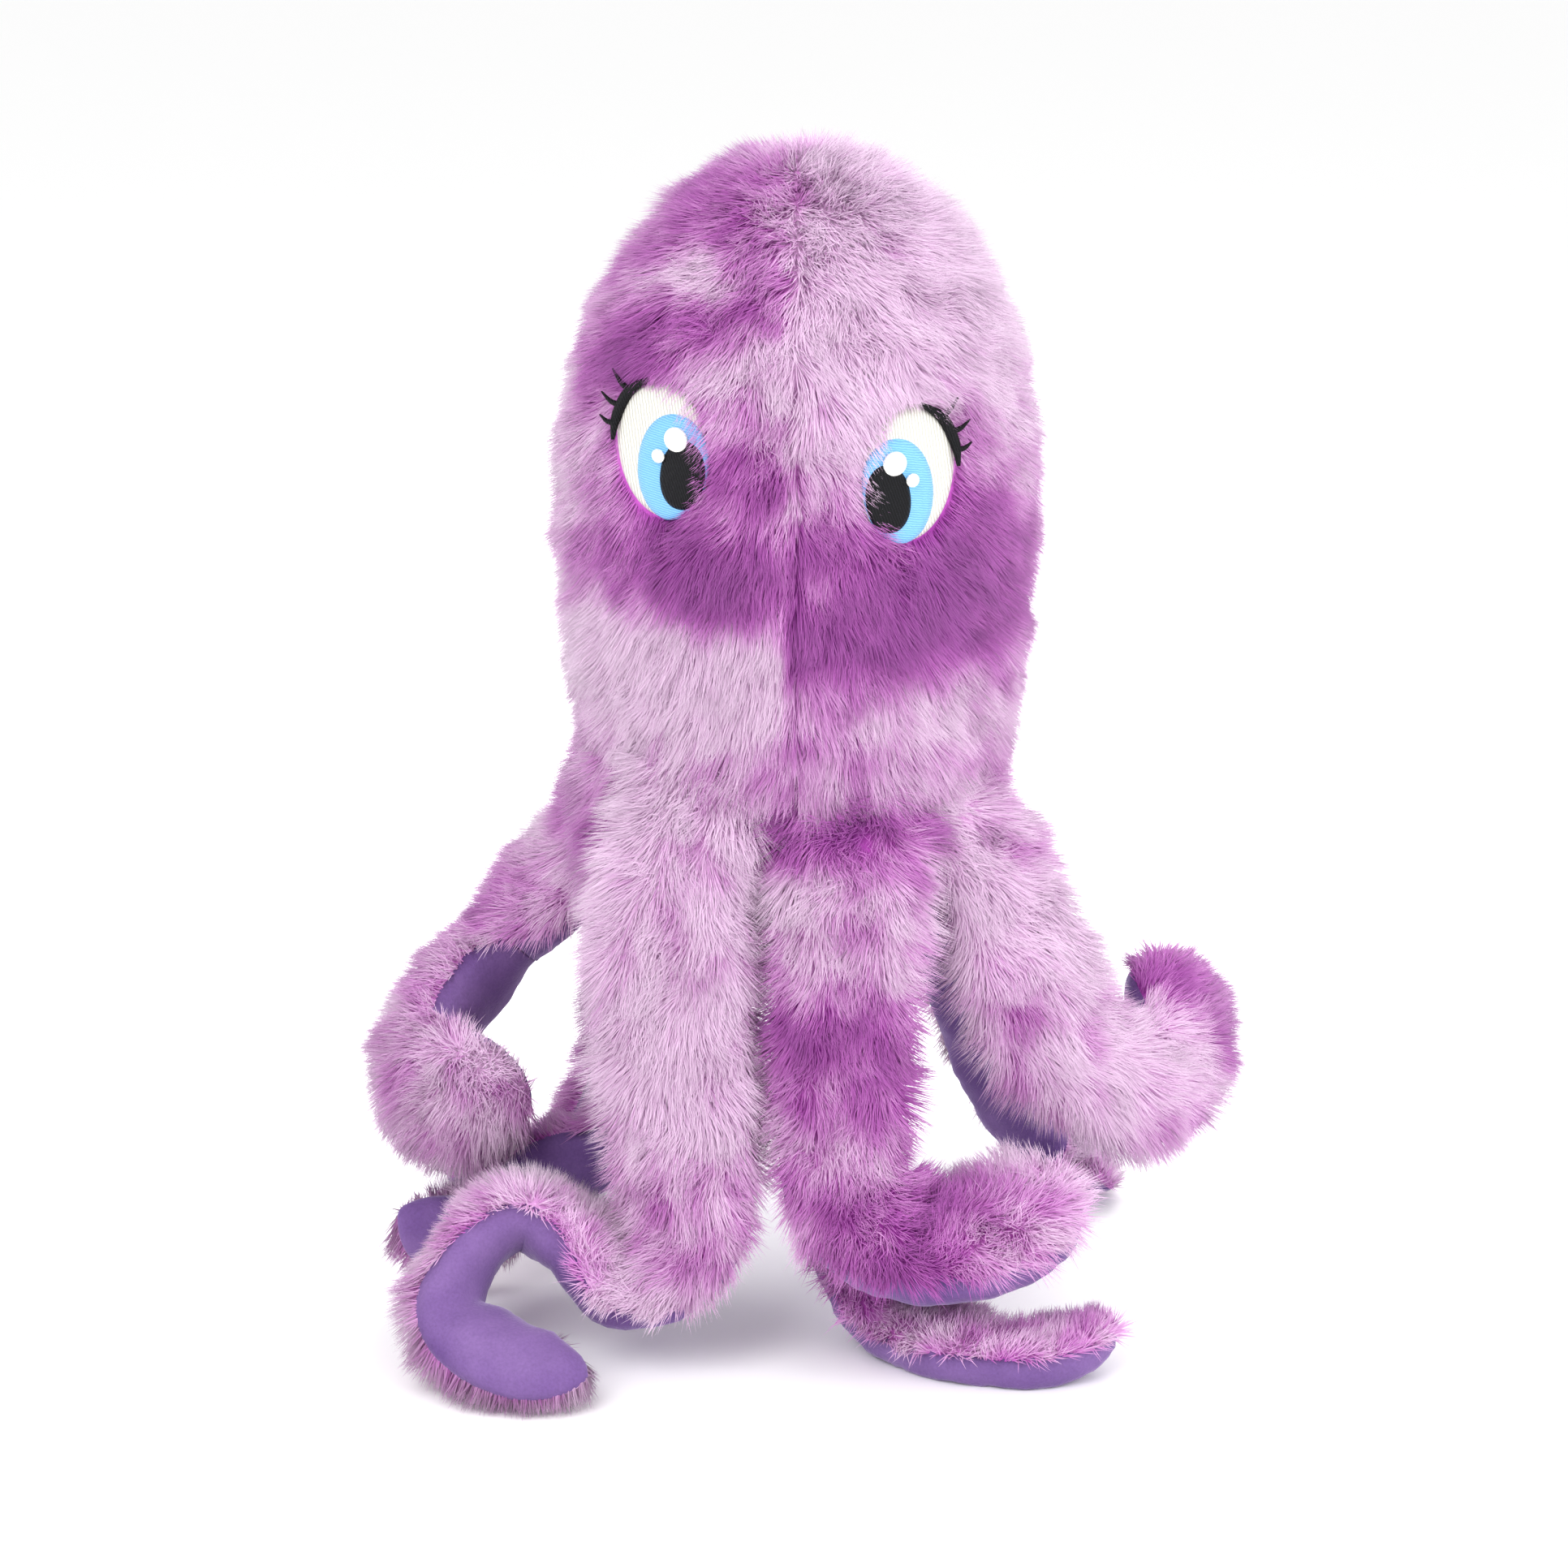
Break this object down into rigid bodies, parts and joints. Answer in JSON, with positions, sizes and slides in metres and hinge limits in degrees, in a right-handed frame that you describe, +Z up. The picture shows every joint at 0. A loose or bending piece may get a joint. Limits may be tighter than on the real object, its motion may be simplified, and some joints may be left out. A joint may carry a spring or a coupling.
{
  "type": "plush octopus toy",
  "caption": "Soft plush octopus with a tall furry tie-dyed dome head, embroidered eyes and floppy arms that are furry on top and smooth velour underneath.",
  "frame": {"origin": "under the middle of the whole toy, on the floor it sits on", "axes": "+Z up, the face looks along -Y, +X to the right as seen from the front"},
  "size_m": [0.212, 0.1846, 0.286],
  "materials": {
    "tie_dye_faux_fur": "long pile faux fur, mottled pale lavender to magenta purple",
    "violet_velour": "short pile velour",
    "polyester_stuffing": "loose fibre filling",
    "eye_white_thread": "satin stitch embroidery",
    "eye_blue_thread": "satin stitch embroidery",
    "eye_black_thread": "satin stitch embroidery"
  },
  "bodies": {
    "head": {"head_front_left": "tie_dye_faux_fur", "head_front_right": "tie_dye_faux_fur", "head_back_left": "tie_dye_faux_fur", "head_back_right": "tie_dye_faux_fur", "head_base": "violet_velour", "head_fill": "polyester_stuffing", "eye_left_white": "eye_white_thread", "eye_left_iris": "eye_blue_thread", "eye_left_pupil": "eye_black_thread", "eye_right_white": "eye_white_thread", "eye_right_iris": "eye_blue_thread", "eye_right_pupil": "eye_black_thread"},
    "arm1_upper": {"arm1_upper_fur": "tie_dye_faux_fur", "arm1_upper_velour": "violet_velour", "arm1_upper_fill": "polyester_stuffing"},
    "arm1_tip": {"arm1_tip_fur": "tie_dye_faux_fur", "arm1_tip_velour": "violet_velour", "arm1_tip_fill": "polyester_stuffing"},
    "arm2_upper": {"arm2_upper_fur": "tie_dye_faux_fur", "arm2_upper_velour": "violet_velour", "arm2_upper_fill": "polyester_stuffing"},
    "arm2_tip": {"arm2_tip_fur": "tie_dye_faux_fur", "arm2_tip_velour": "violet_velour", "arm2_tip_fill": "polyester_stuffing"},
    "arm3_upper": {"arm3_upper_fur": "tie_dye_faux_fur", "arm3_upper_velour": "violet_velour", "arm3_upper_fill": "polyester_stuffing"},
    "arm3_tip": {"arm3_tip_fur": "tie_dye_faux_fur", "arm3_tip_velour": "violet_velour", "arm3_tip_fill": "polyester_stuffing"},
    "arm4_upper": {"arm4_upper_fur": "tie_dye_faux_fur", "arm4_upper_velour": "violet_velour", "arm4_upper_fill": "polyester_stuffing"},
    "arm4_tip": {"arm4_tip_fur": "tie_dye_faux_fur", "arm4_tip_velour": "violet_velour", "arm4_tip_fill": "polyester_stuffing"},
    "arm5_upper": {"arm5_upper_fur": "tie_dye_faux_fur", "arm5_upper_velour": "violet_velour", "arm5_upper_fill": "polyester_stuffing"},
    "arm5_tip": {"arm5_tip_fur": "tie_dye_faux_fur", "arm5_tip_velour": "violet_velour", "arm5_tip_fill": "polyester_stuffing"},
    "arm6_upper": {"arm6_upper_fur": "tie_dye_faux_fur", "arm6_upper_velour": "violet_velour", "arm6_upper_fill": "polyester_stuffing"},
    "arm6_tip": {"arm6_tip_fur": "tie_dye_faux_fur", "arm6_tip_velour": "violet_velour", "arm6_tip_fill": "polyester_stuffing"},
    "arm7_upper": {"arm7_upper_fur": "tie_dye_faux_fur", "arm7_upper_velour": "violet_velour", "arm7_upper_fill": "polyester_stuffing"},
    "arm7_tip": {"arm7_tip_fur": "tie_dye_faux_fur", "arm7_tip_velour": "violet_velour", "arm7_tip_fill": "polyester_stuffing"},
    "arm8_upper": {"arm8_upper_fur": "tie_dye_faux_fur", "arm8_upper_velour": "violet_velour", "arm8_upper_fill": "polyester_stuffing"},
    "arm8_tip": {"arm8_tip_fur": "tie_dye_faux_fur", "arm8_tip_velour": "violet_velour", "arm8_tip_fill": "polyester_stuffing"}
  },
  "joints": [
    {"name": "arm1_root", "type": "hinge", "parent": "head", "child": "arm1_upper", "pos_m": [-0.02195, -0.029, 0.13443], "axis": [-0.9525, 0.3046, 0], "range_deg": [0, 50]},
    {"name": "arm1_bend", "type": "hinge", "parent": "arm1_upper", "child": "arm1_tip", "pos_m": [-0.02496, -0.04003, 0.052], "axis": [-0.9997, -0.0049, -0.0244], "range_deg": [-20, 20]},
    {"name": "arm2_root", "type": "hinge", "parent": "head", "child": "arm2_upper", "pos_m": [-0.0476, -0.00132, 0.13045], "axis": [-0.3282, 0.9446, 0], "range_deg": [0, 5]},
    {"name": "arm2_bend", "type": "hinge", "parent": "arm2_upper", "child": "arm2_tip", "pos_m": [-0.03596, 0.00097, 0.054], "axis": [0.138, 0.9819, 0.1299], "range_deg": [-20, 5]},
    {"name": "arm3_root", "type": "hinge", "parent": "head", "child": "arm3_upper", "pos_m": [-0.04399, 0.03519, 0.13466], "axis": [0.3913, 0.9203, 0], "range_deg": [0, 45]},
    {"name": "arm3_bend", "type": "hinge", "parent": "arm3_upper", "child": "arm3_tip", "pos_m": [-0.07796, 0.02497, 0.073], "axis": [0.0797, 0.8035, -0.5899], "range_deg": [-10, 20]},
    {"name": "arm4_root", "type": "hinge", "parent": "head", "child": "arm4_upper", "pos_m": [-0.01615, 0.05885, 0.1345], "axis": [0.9416, 0.3367, 0], "range_deg": [0, 50]},
    {"name": "arm4_bend", "type": "hinge", "parent": "arm4_upper", "child": "arm4_tip", "pos_m": [-0.03696, 0.06997, 0.052], "axis": [0.8916, 0.4287, -0.146], "range_deg": [-20, 20]},
    {"name": "arm5_root", "type": "hinge", "parent": "head", "child": "arm5_upper", "pos_m": [0.01738, 0.05641, 0.13522], "axis": [0.9012, -0.4334, 0], "range_deg": [0, 50]},
    {"name": "arm5_bend", "type": "hinge", "parent": "arm5_upper", "child": "arm5_tip", "pos_m": [0.04904, 0.06797, 0.052], "axis": [0.8558, -0.4406, 0.2711], "range_deg": [-20, 20]},
    {"name": "arm6_root", "type": "hinge", "parent": "head", "child": "arm6_upper", "pos_m": [0.03858, -0.00715, 0.13666], "axis": [-0.529, -0.8486, 0], "range_deg": [0, 45]},
    {"name": "arm6_bend", "type": "hinge", "parent": "arm6_upper", "child": "arm6_tip", "pos_m": [0.06504, -0.01803, 0.069], "axis": [-0.6168, -0.532, -0.5801], "range_deg": [-20, 15]},
    {"name": "arm7_root", "type": "hinge", "parent": "head", "child": "arm7_upper", "pos_m": [0.04247, 0.02707, 0.12554], "axis": [0.1916, -0.9815, 0], "range_deg": [0, 45]},
    {"name": "arm7_bend", "type": "hinge", "parent": "arm7_upper", "child": "arm7_tip", "pos_m": [0.01104, -0.00603, 0.044], "axis": [-0.9778, -0.2084, 0.0199], "range_deg": [-20, 5]},
    {"name": "arm8_root", "type": "hinge", "parent": "head", "child": "arm8_upper", "pos_m": [0.01172, -0.03085, 0.13508], "axis": [-0.9946, -0.1041, 0], "range_deg": [0, 50]},
    {"name": "arm8_bend", "type": "hinge", "parent": "arm8_upper", "child": "arm8_tip", "pos_m": [0.01104, -0.04003, 0.058], "axis": [-0.9993, -0.0074, -0.0371], "range_deg": [-15, 15]}
  ]
}
